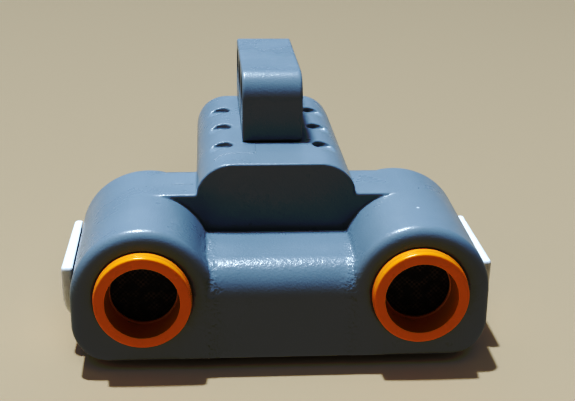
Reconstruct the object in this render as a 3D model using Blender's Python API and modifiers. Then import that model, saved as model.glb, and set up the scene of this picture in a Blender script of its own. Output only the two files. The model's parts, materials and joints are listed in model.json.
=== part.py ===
"""Ultrasonic distance sensor for a construction kit on an 8 mm grid.

Run with: blender --background --python part.py

Lengths below are in millimetres and become metres in the helpers. The design frame has X to the
right, Y away from the side that the two eyes face, and Z up. Y = 0 is the front face of the head and
Z = 0 is the head's flat underside, which the foot holds clear of the table. An empty moves it all so
that the origin is the middle of the space it stands on.
"""

import math

import bmesh
import bpy
from mathutils import Matrix

MM = 0.001
GAP = 0.3

# The kit's grid, which sets the beam, its holes and the distance between the eyes
MODULE = 8.0
BEAM_WIDTH = 7.8
PIN_RADIUS = 2.45
PIN_RECESS_RADIUS = 3.1
PIN_RECESS_DEPTH = 0.9

# Head
EYE_X = 2 * MODULE
EYE_Z = MODULE
HEAD_TOP = 16.0
HEAD_SIDE = 24.4
HEAD_DEPTH = 22.9
INNER_RADIUS = 8.0
OUTER_RADIUS = 8.4
BOTTOM_RADIUS = 4.5
FACE_EDGE = 1.4
SIDE_DRAFT = 0.022
BRIDGE_TOP = 11.3
BRIDGE_EDGE = 4.0
BRIDGE_REACH = 10.0
BULKHEAD_Y = 12.5
WING_REAR = 21.6
WING_REACH = 17.0
WING_TOP = 15.9
WALL = 1.4
FACE_WALL = 1.8
FRONT_FLOOR_DEPTH = 6.5

# Body behind the head
BODY_HALF_WIDTH = 10.0
BODY_TOP = 19.9
BODY_REAR = 46.4
BODY_EDGE = 4.6
REAR_CORNER = 1.8
DIMPLE_X = 6.7
DIMPLE_RADIUS = 1.5
DIMPLE_DEPTH = 0.6
DIMPLE_YS = (20.9, 29.4, 37.9)

# Mounting beam
BEAM_FRONT = 21.8
BEAM_LENGTH = 3 * MODULE
BEAM_TOP = 28.7
BEAM_FRONT_EDGE = 3.4
KEY_HALF_WIDTH = 1.7
KEY_LOW = 18.8

# White base cover
SPLIT_Z = 9.3
FLOOR = 1.2
CHEEK_X = 26.0
CHEEK_THICKNESS = 0.85
CHEEK_FRONT = 6.8
CHEEK_REAR = 22.3
CHEEK_BOTTOM_RADIUS = 5.0

# Foot of the base cover, cored from below
FOOT_DEPTH = 2.3
FOOT_WALL = 1.4
FOOT_CORNER = 2.2
FOOT_BASES = {
    # Top views, each as (left, front), (right, rear)
    "head_foot": ((-18.0, 10.0), (18.0, 21.5)),
    "body_foot": ((-7.4, 19.0), (7.4, 44.4)),
}
FOOT_CORES = {
    "left_core": ((-18.0 + FOOT_WALL, 10.0 + FOOT_WALL), (-FOOT_WALL / 2, 21.5 - FOOT_WALL)),
    "right_core": ((FOOT_WALL / 2, 10.0 + FOOT_WALL), (18.0 - FOOT_WALL, 21.5 - FOOT_WALL)),
    "middle_core": ((-7.4 + FOOT_WALL, 21.5), (7.4 - FOOT_WALL, 32.0)),
    "rear_core": ((-7.4 + FOOT_WALL, 32.0 + FOOT_WALL), (7.4 - FOOT_WALL, 44.4 - FOOT_WALL)),
}

# Eyes
RING_RADIUS = 5.57
RING_BORE = 4.26
RING_THROAT = 3.84
RING_STAND = 1.6
RING_FLANGE = 6.5
MESH_Y = 2.35
CAN_RADIUS = 5.6
CAN_FRONT = 3.4
CAN_REAR = 12.4
SLEEVE_INNER = 5.9
SLEEVE_OUTER = 6.3

# Boards
HEAD_BOARD_Y = 15.4
MAIN_BOARD_Z = 2.8
BOARD_THICKNESS = 1.2

# Cable socket at the rear
SOCKET_HALF_WIDTH = 6.6
SOCKET_FRONT = 31.5
SOCKET_MOUTH = 45.4
SOCKET_LOW = 4.3
SOCKET_TOP = 16.1
PLUG_HALF_WIDTH = 4.95
PLUG_LOW = 6.2
PLUG_TOP = 13.0
CONTACTS = 6
CONTACT_PITCH = 1.02
CONTACT_RADIUS = 0.22
CONTACT_ROOT = (43.8, 5.6)

BODY_CENTRE_Y = (BODY_REAR - RING_STAND) / 2

COLOURS = {
    "grey": ((0.13, 0.16, 0.19, 1), 0.45, 0.0),
    "white": ((0.8, 0.8, 0.78, 1), 0.4, 0.0),
    "orange": ((0.62, 0.06, 0.0, 1), 0.35, 0.0),
    "mesh": ((0.01, 0.01, 0.01, 1), 0.7, 0.0),
    "metal": ((0.7, 0.71, 0.72, 1), 0.3, 1.0),
    "foam": ((0.03, 0.03, 0.03, 1), 0.95, 0.0),
    "ceramic": ((0.75, 0.68, 0.5, 1), 0.5, 0.0),
    "board": ((0.01, 0.12, 0.05, 1), 0.4, 0.0),
    "chip": ((0.02, 0.02, 0.022, 1), 0.5, 0.0),
    "black": ((0.015, 0.015, 0.016, 1), 0.4, 0.0),
    "gold": ((0.85, 0.6, 0.25, 1), 0.25, 1.0),
    "led": ((0.85, 0.82, 0.6, 1), 0.3, 0.0),
    "ferrite": ((0.06, 0.055, 0.05, 1), 0.6, 0.0),
}


def clear_scene():
    for obj in list(bpy.data.objects):
        bpy.data.objects.remove(obj, do_unlink=True)


def new_collection(name):
    collection = bpy.data.collections.new(name)
    bpy.context.scene.collection.children.link(collection)
    return collection


clear_scene()
PARTS = new_collection("ultrasonic_sensor")
HELPERS = new_collection("cutters")
FRAME = bpy.data.objects.new("sensor_frame", None)
FRAME.location = (0, -BODY_CENTRE_Y * MM, FOOT_DEPTH * MM)
PARTS.objects.link(FRAME)


def material(kind):
    """One Principled material for each kind, shared by the pieces made of it."""
    found = bpy.data.materials.get(kind)
    if found:
        return found
    colour, roughness, metallic = COLOURS[kind]
    made = bpy.data.materials.new(kind)
    made.use_nodes = True
    shader = made.node_tree.nodes["Principled BSDF"]
    shader.inputs["Base Color"].default_value = colour
    shader.inputs["Roughness"].default_value = roughness
    shader.inputs["Metallic"].default_value = metallic
    return made


def add_object(name, mesh, kind=None):
    """Puts a mesh in the design frame: a part if it has a kind of material, and a helper if not."""
    obj = bpy.data.objects.new(name, mesh)
    obj.parent = FRAME
    if kind:
        PARTS.objects.link(obj)
        mesh.materials.append(material(kind))
    else:
        HELPERS.objects.link(obj)
        obj.hide_render = True
        obj.display_type = "WIRE"
    return obj


def mesh_from(bm, name):
    bmesh.ops.recalc_face_normals(bm, faces=bm.faces)
    if bm.calc_volume(signed=True) < 0:
        bmesh.ops.reverse_faces(bm, faces=bm.faces)
    mesh = bpy.data.meshes.new(name)
    bm.to_mesh(mesh)
    bm.free()
    return mesh


def box(name, low, high, kind=None):
    bm = bmesh.new()
    bmesh.ops.create_cube(bm, size=1.0)
    for vert in bm.verts:
        for axis in range(3):
            side = vert.co[axis] + 0.5
            vert.co[axis] = (low[axis] + side * (high[axis] - low[axis])) * MM
    return add_object(name, mesh_from(bm, name), kind)


AXIS_TURNS = {
    "X": Matrix.Rotation(math.pi / 2, 4, "Y"),
    "Y": Matrix.Rotation(-math.pi / 2, 4, "X"),
    "Z": Matrix.Identity(4),
}


def cylinder(name, centre, radius, length, axis, segments=24, kind=None):
    """A cylinder whose middle is at centre."""
    bm = bmesh.new()
    bmesh.ops.create_cone(
        bm,
        cap_ends=True,
        segments=segments,
        radius1=radius * MM,
        radius2=radius * MM,
        depth=length * MM,
        matrix=AXIS_TURNS[axis],
    )
    bmesh.ops.translate(bm, verts=bm.verts, vec=[value * MM for value in centre])
    return add_object(name, mesh_from(bm, name), kind)


def arc(centre, radii, start, end, steps):
    """Points on an ellipse about centre, from the start angle to the end angle in degrees."""
    points = []
    for index in range(steps + 1):
        angle = math.radians(start + (end - start) * index / steps)
        points.append((centre[0] + radii[0] * math.cos(angle), centre[1] + radii[1] * math.sin(angle)))
    return points


def mirrored(half):
    """A whole outline from its +X half, which is listed from one end on the plane to the other."""
    return half + [(-x, other) for x, other in reversed(half)]


PLANES = {
    # (outline's first axis, second axis, axis of thickness)
    "XZ": (0, 2, 1),
    "XY": (0, 1, 2),
    "YZ": (1, 2, 0),
}


def prism(name, outline, plane, low, high, kind=None):
    """A flat 2D curve with filled faces, given its thickness by extrude and then made a mesh."""
    curve = bpy.data.curves.new(name, "CURVE")
    curve.dimensions = "2D"
    curve.fill_mode = "BOTH"
    curve.extrude = (high - low) / 2 * MM
    spline = curve.splines.new("POLY")
    spline.points.add(len(outline) - 1)
    for point, (first, second) in zip(spline.points, outline):
        point.co = (first * MM, second * MM, 0, 1)
    spline.use_cyclic_u = True
    guide = bpy.data.objects.new(name + "_outline", curve)
    bpy.context.scene.collection.objects.link(guide)
    graph = bpy.context.evaluated_depsgraph_get()
    flat = bpy.data.meshes.new_from_object(guide.evaluated_get(graph))
    bpy.data.objects.remove(guide, do_unlink=True)
    bpy.data.curves.remove(curve)
    bm = bmesh.new()
    bm.from_mesh(flat)
    bpy.data.meshes.remove(flat)
    bmesh.ops.remove_doubles(bm, verts=bm.verts, dist=1e-6)
    first, second, third = PLANES[plane]
    for vert in bm.verts:
        place = [0.0, 0.0, 0.0]
        place[first] = vert.co.x
        place[second] = vert.co.y
        place[third] = vert.co.z + (low + high) / 2 * MM
        vert.co = place
    return add_object(name, mesh_from(bm, name), kind)


def turned(name, profile, centre, closed, kind, segments=32):
    """A profile of (radius, y) points turned about an axis along Y through centre, (x, z)."""
    mesh = bpy.data.meshes.new(name)
    edges = [(index, index + 1) for index in range(len(profile) - 1)]
    if closed:
        edges.append((len(profile) - 1, 0))
    mesh.from_pydata([(radius * MM, 0, height * MM) for radius, height in profile], edges, [])
    obj = add_object(name, mesh, kind)
    obj.location = (centre[0] * MM, 0, centre[1] * MM)
    obj.rotation_euler.x = -math.pi / 2
    screw = obj.modifiers.new("Screw", "SCREW")
    screw.axis = "Z"
    screw.steps = segments
    screw.render_steps = segments
    screw.use_merge_vertices = True
    screw.merge_threshold = 0.00001
    screw.use_smooth_shade = True
    return obj


def boolean(obj, other, operation):
    modifier = obj.modifiers.new(f"{operation.title()} {other.name}", "BOOLEAN")
    modifier.operation = operation
    modifier.solver = "EXACT"
    modifier.object = other
    return obj


def cut(obj, *others):
    for other in others:
        boolean(obj, other, "DIFFERENCE")


def join(obj, *others):
    for other in others:
        boolean(obj, other, "UNION")


def bevel(obj, width, segments, angle=50):
    modifier = obj.modifiers.new("Bevel", "BEVEL")
    modifier.width = width * MM
    modifier.segments = segments
    modifier.limit_method = "ANGLE"
    modifier.angle_limit = math.radians(angle)
    return obj


def draft_sides(obj):
    """Widens the head towards its rear, outside the eyes' axes, as the mould's draft does."""
    for vert in obj.data.vertices:
        reach = max(abs(vert.co.x) / MM - EYE_X, 0) / (HEAD_SIDE - EYE_X)
        vert.co.x += math.copysign(reach * SIDE_DRAFT * vert.co.y, vert.co.x)


def lobe_outline(side, inset):
    """Front view of one eye's barrel: round on top and square to the base, inset from its skin."""
    crown = HEAD_TOP - OUTER_RADIUS
    corner = BOTTOM_RADIUS - min(inset, 1.3)
    edge = HEAD_SIDE - inset
    points = [(EYE_X - INNER_RADIUS + inset, inset)]
    points += arc((edge - corner, inset + corner), (corner, corner), -90, 0, 5)
    outer = OUTER_RADIUS - inset
    points += arc((EYE_X, crown), (outer, outer), 0, 84, 9)
    inner = INNER_RADIUS - inset
    points += arc((EYE_X, EYE_Z), (inner, inner), 90, 180, 9)
    return [(side * x, z) for x, z in points]


def rounded_rectangle(low, high, radius):
    """Top view of a rectangle with rounded corners."""
    points = []
    for x, y, start in (
        (high[0] - radius, high[1] - radius, 0),
        (low[0] + radius, high[1] - radius, 90),
        (low[0] + radius, low[1] + radius, 180),
        (high[0] - radius, low[1] + radius, 270),
    ):
        points += arc((x, y), (radius, radius), start, start + 90, 4)
    return points


def bar_outline(half_width, low, high, top_radius, bottom_radius):
    """Cross-section of the body: a rectangle with its own radius at the top and at the bottom."""
    half = [(0, low)]
    if bottom_radius:
        centre = (half_width - bottom_radius, low + bottom_radius)
        half += arc(centre, (bottom_radius, bottom_radius), -90, 0, 4)
    else:
        half.append((half_width, low))
    if top_radius:
        centre = (half_width - top_radius, high - top_radius)
        half += arc(centre, (top_radius, top_radius), 0, 90, 6)
    else:
        half.append((half_width, high))
    half.append((0, high))
    return half[1:-1] + [(-x, z) for x, z in reversed(half[1:-1])]


def plan_outline(front, inset):
    """Top view of the body: straight sides, and a flat rear end with rounded corners."""
    radius = REAR_CORNER - inset
    centre = (BODY_HALF_WIDTH - REAR_CORNER, BODY_REAR - REAR_CORNER)
    half = [(BODY_HALF_WIDTH - inset, front)] + arc(centre, (radius, radius), 0, 90, 5)
    return mirrored(half)


def body_bar(name, inset, low, high, top_radius, bottom_radius, front, kind=None):
    """A length of the body: its cross-section run along Y and kept inside its plan."""
    half_width = BODY_HALF_WIDTH - inset
    section = bar_outline(half_width, low, high, top_radius, bottom_radius)
    bar = prism(name, section, "XZ", front, BODY_REAR + 1, kind)
    plan = prism(name + "_plan", plan_outline(front - 1, inset), "XY", low - 1, high + 1)
    return boolean(bar, plan, "INTERSECT")


def make_front_housing():
    """Grey front and top shell: two barrels, the bridge between them, wings, and the body's top."""
    housing = prism("front_housing", lobe_outline(1, 0), "XZ", 0, HEAD_DEPTH, "grey")
    other_lobe = prism("left_lobe", lobe_outline(-1, 0), "XZ", 0, HEAD_DEPTH)
    for lobe in (housing, other_lobe):
        draft_sides(lobe)
        bevel(lobe, FACE_EDGE, 3)

    # The bridge stays this far behind the barrels' faces and base, so that no two faces coincide.
    shy = 0.03
    rear = BULKHEAD_Y + 2
    edge_centre = (BRIDGE_EDGE + shy, BRIDGE_TOP - BRIDGE_EDGE)
    bridge_section = [(shy, shy), (rear, shy), (rear, BRIDGE_TOP)]
    bridge_section += arc(edge_centre, (BRIDGE_EDGE, BRIDGE_EDGE), 90, 180, 6)
    bridge = prism("bridge", bridge_section, "YZ", -BRIDGE_REACH, BRIDGE_REACH)
    wings = box("wings", (-WING_REACH, BULKHEAD_Y, SPLIT_Z), (WING_REACH, WING_REAR, WING_TOP))
    body = body_bar("body_top", 0, SPLIT_Z + 0.2, BODY_TOP, BODY_EDGE, 0, BULKHEAD_Y)
    join(housing, other_lobe, bridge, wings, body)

    # The base cover's floor and cheeks pass under and beside the head behind its front lip.
    top = SPLIT_Z - 2
    outside = CHEEK_X + 1
    inside = CHEEK_X - CHEEK_THICKNESS - 0.25
    corner = BOTTOM_RADIUS + 0.1
    floor_top = FLOOR + GAP
    half = [(0, -1), (outside, -1), (outside, top), (inside, top)]
    half += arc((inside - corner, floor_top + corner), (corner, corner), 0, -90, 5)
    under = prism("under_clearance", mirrored(half), "XZ", FRONT_FLOOR_DEPTH, BODY_REAR + 1)

    hollows = [under]
    for side, label in ((-1, "left"), (1, "right")):
        hollow = prism(
            f"{label}_lobe_hollow", lobe_outline(side, WALL), "XZ", FACE_WALL, HEAD_DEPTH - WALL
        )
        draft_sides(hollow)
        hollows.append(hollow)
    hollows.append(
        box(
            "bridge_hollow",
            (-EYE_X, FACE_WALL, WALL),
            (EYE_X, WING_REAR - WALL, BRIDGE_TOP - WALL),
        )
    )
    hollows.append(
        box(
            "wing_hollow",
            (-EYE_X, BULKHEAD_Y + WALL, WALL),
            (EYE_X, WING_REAR - WALL, HEAD_TOP - WALL - 0.1),
        )
    )
    hollows.append(
        body_bar("body_hollow", WALL, 0, BODY_TOP - WALL, BODY_EDGE - WALL, 0, BULKHEAD_Y + WALL)
    )
    cut(housing, *hollows)

    for side, label in ((-1, "left"), (1, "right")):
        centre = (side * EYE_X, FACE_WALL / 2, EYE_Z)
        cut(housing, cylinder(f"{label}_eye_hole", centre, RING_RADIUS + GAP, 6, "Y", 40))
        for index, y in enumerate(DIMPLE_YS):
            place = (side * DIMPLE_X, y, BODY_TOP)
            dimple = cylinder(
                f"{label}_dimple_{index}", place, DIMPLE_RADIUS, 2 * DIMPLE_DEPTH, "Z", 14
            )
            cut(housing, dimple)
    key_low = (-KEY_HALF_WIDTH - GAP, BEAM_FRONT + 2 - GAP, KEY_LOW - 2)
    key_high = (KEY_HALF_WIDTH + GAP, BEAM_FRONT + BEAM_LENGTH - 3 + GAP, BODY_TOP + 1)
    cut(housing, box("key_slot", key_low, key_high))
    cut(housing, SOCKET_OPENING)
    return housing


def make_mounting_beam():
    """Three-hole beam on the body's top, held by a key that drops through the housing's slot."""
    rear = BEAM_FRONT + BEAM_LENGTH
    low = BODY_TOP + GAP
    radius = BEAM_FRONT_EDGE
    outline = [(BEAM_FRONT, low), (rear, low), (rear, BEAM_TOP)]
    outline += arc((BEAM_FRONT + radius, BEAM_TOP - radius), (radius, radius), 90, 180, 7)
    half = BEAM_WIDTH / 2
    beam = prism("mounting_beam", outline, "YZ", -half, half, "grey")
    key_low = (-KEY_HALF_WIDTH, BEAM_FRONT + 2, KEY_LOW)
    key = box("beam_key", key_low, (KEY_HALF_WIDTH, rear - 3, low + 0.5))
    join(beam, key)
    hole_z = BEAM_TOP - half
    for index in range(3):
        y = BEAM_FRONT + MODULE * (index + 0.5)
        hole = cylinder(f"pin_hole_{index}", (0, y, hole_z), PIN_RADIUS, 10, "X", 24)
        cut(beam, hole)
        for side in (-1, 1):
            place = (side * (half - PIN_RECESS_DEPTH + 1), y, hole_z)
            recess = cylinder(f"pin_recess_{index}_{side}", place, PIN_RECESS_RADIUS, 2, "X", 24)
            cut(beam, recess)
    return beam


def cheek_outline(inset):
    """Front view of the cover's U, inset from its outer skin and open towards the top."""
    half_width = CHEEK_X - inset
    radius = CHEEK_BOTTOM_RADIUS - inset
    low = inset * FLOOR / CHEEK_THICKNESS
    half = [(0, low)] + arc((half_width - radius, low + radius), (radius, radius), -90, 0, 5)
    half.append((half_width, SPLIT_Z + (1 if inset else 0)))
    return mirrored(half[1:])


def make_base_cover():
    """White underside: a floor, a cheek on each side of the head, and the body's lower half."""
    cover = prism("base_cover", cheek_outline(0), "XZ", CHEEK_FRONT, CHEEK_REAR, "white")
    sweep = arc((CHEEK_FRONT + 6, SPLIT_Z), (6, SPLIT_Z + 3), 180, 270, 6)
    swept_front = [(CHEEK_FRONT - 1, SPLIT_Z + 0.5)] + sweep + [(CHEEK_FRONT - 1, -3)]
    for side, label in ((-1, "left"), (1, "right")):
        near, far = sorted((side * (HEAD_SIDE - 4), side * (CHEEK_X + 1)))
        cut(cover, prism(f"{label}_cheek_sweep", swept_front, "YZ", near, far))
    hollow = prism("cheek_hollow", cheek_outline(CHEEK_THICKNESS), "XZ", 0, CHEEK_REAR + 1)
    cut(cover, hollow)
    tray = body_bar("body_tray", 0, 0, SPLIT_Z - 0.1, 0, 2.5, CHEEK_REAR - 6)
    tray_front = box("tray_front", (-11, 0, FLOOR), (11, HEAD_DEPTH + GAP, SPLIT_Z + 1))
    cut(tray, tray_front)
    tray_hollow = body_bar("tray_hollow", WALL, FLOOR, SPLIT_Z + 1, 0, 1.5, CHEEK_REAR - 8)
    cut(tray, tray_hollow)
    join(cover, tray)
    for x, y in ((-6.4, 20.5), (6.4, 20.5), (-6.4, 35.0), (6.4, 35.0)):
        height = MAIN_BOARD_Z - GAP - FLOOR + 0.4
        place = (x, y, FLOOR - 0.4 + height / 2)
        join(cover, cylinder(f"board_post_{x}_{y}", place, 1.1, height, "Z", 12))
    for x in (-13.0, 13.0):
        low = (x - 1.2, HEAD_BOARD_Y - 0.9, FLOOR - 0.4)
        high = (x + 1.2, HEAD_BOARD_Y + BOARD_THICKNESS + 0.9, 3.2 - GAP)
        join(cover, box(f"head_board_rib_{x}", low, high))
    for name, (low, high) in FOOT_BASES.items():
        base = rounded_rectangle(low, high, FOOT_CORNER)
        join(cover, prism(name, base, "XY", -FOOT_DEPTH, FLOOR / 2))
    for name, (low, high) in FOOT_CORES.items():
        core = rounded_rectangle(low, high, FOOT_CORNER - FOOT_WALL)
        cut(cover, prism(name, core, "XY", -FOOT_DEPTH - 1, -GAP))
    cut(cover, SOCKET_OPENING)
    return cover


def make_eye(side, label):
    """One eye: the ring with its light pipe, the mesh, and the transducer with its sleeve."""
    centre = (side * EYE_X, EYE_Z)
    edge = 0.35
    ring_profile = [
        (RING_RADIUS - edge, -RING_STAND),
        (RING_BORE, -RING_STAND),
        (RING_THROAT, MESH_Y - GAP),
        (4.9, MESH_Y - GAP),
        (4.9, 3.1),
        (RING_FLANGE, 3.1),
        (RING_FLANGE, FACE_WALL + GAP),
        (RING_RADIUS, FACE_WALL + GAP),
        (RING_RADIUS, -RING_STAND + edge),
    ]
    ring = turned(f"eye_ring_{label}", ring_profile, centre, True, "orange", 40)
    pipe_x = side * (EYE_X - RING_FLANGE - 0.8)
    pipe = box(
        f"light_pipe_{label}",
        (pipe_x - 0.8, FACE_WALL + GAP + 0.15, EYE_Z - 0.8),
        (pipe_x + 0.8, 13.9, EYE_Z + 0.8),
    )
    foot = box(
        f"light_pipe_foot_{label}",
        (min(pipe_x, pipe_x + side * 1.6) - 0.4, FACE_WALL + GAP + 0.15, EYE_Z - 0.8),
        (max(pipe_x, pipe_x + side * 1.6) + 0.4, 2.95, EYE_Z + 0.8),
    )
    join(ring, foot, pipe)

    screen = [(0, MESH_Y + 0.35), (4.6, MESH_Y + 0.35), (4.6, MESH_Y), (0, MESH_Y)]
    turned(f"eye_mesh_{label}", screen, centre, False, "mesh", 32)
    can = [
        (CAN_RADIUS, CAN_FRONT),
        (4.9, CAN_FRONT),
        (4.9, CAN_FRONT + 0.4),
        (5.2, CAN_FRONT + 0.4),
        (5.2, CAN_REAR),
        (CAN_RADIUS, CAN_REAR),
    ]
    turned(f"transducer_can_{label}", can, centre, True, "metal")
    base = [(0, 12.1), (4.9, 12.1), (4.9, 10.9), (1.3, 10.9), (1.3, 9.4), (0, 9.4)]
    turned(f"transducer_base_{label}", base, centre, False, "chip")
    piezo = [(0, 9.1), (3.0, 9.1), (3.0, 8.6), (0, 8.6)]
    turned(f"piezo_disc_{label}", piezo, centre, False, "ceramic")
    cone = [(0, 8.3), (1.2, 8.3), (4.5, 5.2), (4.5, 4.9), (4.2, 4.9), (1.0, 7.8), (0, 7.8)]
    turned(f"cone_{label}", cone, centre, False, "metal")
    sleeve = [
        (SLEEVE_OUTER, CAN_FRONT + 0.6),
        (SLEEVE_INNER, CAN_FRONT + 0.6),
        (SLEEVE_INNER, CAN_REAR),
        (SLEEVE_OUTER, CAN_REAR),
    ]
    turned(f"transducer_sleeve_{label}", sleeve, centre, True, "foam")
    for mark, offset in (("a", -2.5), ("b", 2.5)):
        start = 12.1 + GAP
        end = HEAD_BOARD_Y + BOARD_THICKNESS + 0.8
        place = (centre[0] + offset, (start + end) / 2, EYE_Z)
        cylinder(f"transducer_pin_{label}_{mark}", place, 0.3, end - start, "Y", 10, "metal")
    low = (pipe_x - 0.8, HEAD_BOARD_Y - GAP - 0.9, EYE_Z - 0.8)
    box(f"eye_led_{label}", low, (pipe_x + 0.8, HEAD_BOARD_Y - GAP, EYE_Z + 0.8), "led")


def make_boards():
    """The upright board behind the transducers, the long board under the socket, and their header."""
    corners = [(21.6, 3.2), (21.6, 9.5), (18.4, 13.6)]
    outline = mirrored(corners)
    rear = HEAD_BOARD_Y + BOARD_THICKNESS
    head_board = prism("head_board", outline, "XZ", HEAD_BOARD_Y, rear, "board")
    for x in (-EYE_X, EYE_X):
        for offset in (-2.5, 2.5):
            place = (x + offset, HEAD_BOARD_Y, EYE_Z)
            cut(head_board, cylinder(f"pin_clearance_{x + offset}", place, 0.65, 4, "Y", 10))
    top = MAIN_BOARD_Z + BOARD_THICKNESS
    plan = mirrored([(8.2, rear + 0.6), (8.2, 38.0), (5.9, 38.0), (5.9, 43.0)])
    prism("main_board", plan, "XY", MAIN_BOARD_Z, top, "board")
    part_low = top + GAP
    header = box("board_header", (-5.1, rear + GAP, part_low), (5.1, rear + 2.7, 6.8), "black")
    bevel(header, 0.2, 1)


def make_components():
    """The parts soldered to the two boards."""
    top = MAIN_BOARD_Z + BOARD_THICKNESS + GAP
    rear = HEAD_BOARD_Y + BOARD_THICKNESS + GAP
    chips = {
        "microcontroller": ((-3.0, 25.0, top), (3.0, 31.0, top + 1.0), "chip"),
        "driver_chip": ((-2.4, 20.2, top), (1.6, 23.2, top + 1.3), "chip"),
        "amplifier_chip": ((-2.5, rear, 8.0), (2.5, rear + 1.4, 12.0), "chip"),
        "crystal": ((4.6, 25.6, top), (6.6, 30.0, top + 1.6), "metal"),
        "step_up_transformer": ((2.4, 19.9, top), (7.4, 24.7, top + 4.6), "ferrite"),
    }
    for name, (low, high, kind) in chips.items():
        bevel(box(name, low, high, kind), 0.15, 1)
    for mark, x, y in (("a", -5.6, 22.2), ("b", -5.6, 27.6)):
        bottom = (0, top)
        profile = [(0, 0), (2.0, 0), (2.0, 0.9), (1.8, 1.1), (2.0, 1.3), (2.0, 4.8), (0, 4.8)]
        can = turned(f"capacitor_{mark}", list(reversed(profile)), bottom, False, "metal", 24)
        can.rotation_euler.x = 0
        can.location = (x * MM, y * MM, top * MM)


def make_cable_socket():
    """Six-way latching socket that opens at the rear, and its six sprung contact wires."""
    low = (-SOCKET_HALF_WIDTH, SOCKET_FRONT, SOCKET_LOW)
    high = (SOCKET_HALF_WIDTH, SOCKET_MOUTH, SOCKET_TOP)
    socket = box("cable_socket", low, high, "black")
    bevel(socket, 0.3, 1)
    plug_low = (-PLUG_HALF_WIDTH, SOCKET_FRONT + 2, PLUG_LOW)
    plug_high = (PLUG_HALF_WIDTH, SOCKET_MOUTH + 1, PLUG_TOP)
    cut(socket, box("plug_space", plug_low, plug_high))
    # The latch is to one side of the middle, so that only the kit's own plug goes in.
    latch_low = (0.7, SOCKET_FRONT + 5, PLUG_TOP - 0.5)
    cut(socket, box("latch_space", latch_low, (4.1, SOCKET_MOUTH + 1, PLUG_TOP + 2.1)))
    reach = CONTACT_PITCH * CONTACTS / 2 + 0.3
    trough_low = (-reach, SOCKET_FRONT + 4, SOCKET_LOW + 0.6)
    cut(socket, box("contact_trough", trough_low, (reach, SOCKET_MOUTH - 0.5, PLUG_LOW + 0.5)))
    root_y, root_z = CONTACT_ROOT
    route = [(0.5, -0.3), (0.0, 0.0), (-0.7, 0.3), (-5.4, 2.4), (-6.2, 2.6), (-6.9, 2.4)]
    for index in range(CONTACTS):
        x = (index - (CONTACTS - 1) / 2) * CONTACT_PITCH
        curve = bpy.data.curves.new(f"contact_wire_{index + 1}", "CURVE")
        curve.dimensions = "3D"
        curve.bevel_depth = CONTACT_RADIUS * MM
        curve.bevel_resolution = 1
        curve.use_fill_caps = True
        spline = curve.splines.new("POLY")
        spline.points.add(len(route) - 1)
        for point, (along, up) in zip(spline.points, route):
            point.co = (0, along * MM, up * MM, 1)
        curve.materials.append(material("gold"))
        wire = bpy.data.objects.new(f"contact_wire_{index + 1}", curve)
        wire.parent = FRAME
        wire.location = (x * MM, root_y * MM, root_z * MM)
        PARTS.objects.link(wire)


SOCKET_OPENING = box(
    "socket_opening",
    (-SOCKET_HALF_WIDTH - 0.35, 41.5, SOCKET_LOW - 0.5),
    (SOCKET_HALF_WIDTH + 0.35, BODY_REAR + 2, SOCKET_TOP + 0.4),
)
make_front_housing()
make_mounting_beam()
make_base_cover()
for eye_side, eye_label in ((-1, "left"), (1, "right")):
    make_eye(eye_side, eye_label)
make_boards()
make_components()
make_cable_socket()
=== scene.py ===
import json
import math

import bpy
import numpy as np
from mathutils import Matrix, Vector


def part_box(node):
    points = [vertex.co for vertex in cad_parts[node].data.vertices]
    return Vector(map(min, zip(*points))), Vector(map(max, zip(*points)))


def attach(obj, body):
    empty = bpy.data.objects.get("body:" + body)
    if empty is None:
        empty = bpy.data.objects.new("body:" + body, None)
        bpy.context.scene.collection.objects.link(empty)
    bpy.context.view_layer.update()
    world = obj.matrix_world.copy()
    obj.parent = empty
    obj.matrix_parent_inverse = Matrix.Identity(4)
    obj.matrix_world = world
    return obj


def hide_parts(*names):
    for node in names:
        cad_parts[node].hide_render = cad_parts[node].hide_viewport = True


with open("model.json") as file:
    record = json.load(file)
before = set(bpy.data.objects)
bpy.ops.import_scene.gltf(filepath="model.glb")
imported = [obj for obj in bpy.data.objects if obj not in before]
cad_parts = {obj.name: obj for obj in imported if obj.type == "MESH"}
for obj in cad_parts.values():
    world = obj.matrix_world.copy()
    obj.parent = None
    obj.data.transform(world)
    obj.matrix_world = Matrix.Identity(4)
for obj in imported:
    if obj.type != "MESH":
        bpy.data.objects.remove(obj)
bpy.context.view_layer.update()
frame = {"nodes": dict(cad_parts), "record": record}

# Shapes below are worked out in millimetres from the middle of the bottom of the head's front face:
# x to the right, y back into the object, z up. place() turns them into the frame's metres.
millimetre = 0.001
_, faceY, headZ = (float(value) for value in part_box("front_housing")[0])


def place(points):
    return np.asarray(points) * millimetre + (0.0, faceY, headZ)


def cadBox(node):
    # A CAD node's corners in this script's millimetres.
    low, high = (np.array(corner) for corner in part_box(node))
    shift = np.array((0.0, faceY, headZ))
    return (low - shift) / millimetre, (high - shift) / millimetre


def marks(*stretches):
    # Grid lines along one axis: each stretch is (start, end, spacing), joined end to end.
    parts = []
    for start, end, spacing in stretches:
        count = max(1, round((end - start) / spacing))
        parts.append(np.linspace(start, end, count, endpoint=False))
    parts.append(np.array([stretches[-1][1]]))
    return np.concatenate(parts)


# Distance fields: below 0 inside, above 0 outside, in millimetres.
def roundBoth(a, b, radius):
    # Inside both a and b, with their shared edge rounded to a quarter circle of that radius.
    outsideA = np.maximum(a + radius, 0)
    outsideB = np.maximum(b + radius, 0)
    return np.minimum(np.maximum(a, b) + radius, 0) + np.hypot(outsideA, outsideB) - radius


def blendEither(a, b, width):
    # Inside a or b, with the corner between them filled: the lesser, less (width - |a - b|)^2 / 4 width.
    width = np.maximum(width, 1e-6)
    near = np.maximum(width - np.abs(a - b), 0)
    return np.minimum(a, b) - near * near / (4 * width)


def blendBoth(a, b, width):
    # Inside both a and b, with their shared edge softened: blendEither, turned inside out.
    return -blendEither(-a, -b, width)


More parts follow.
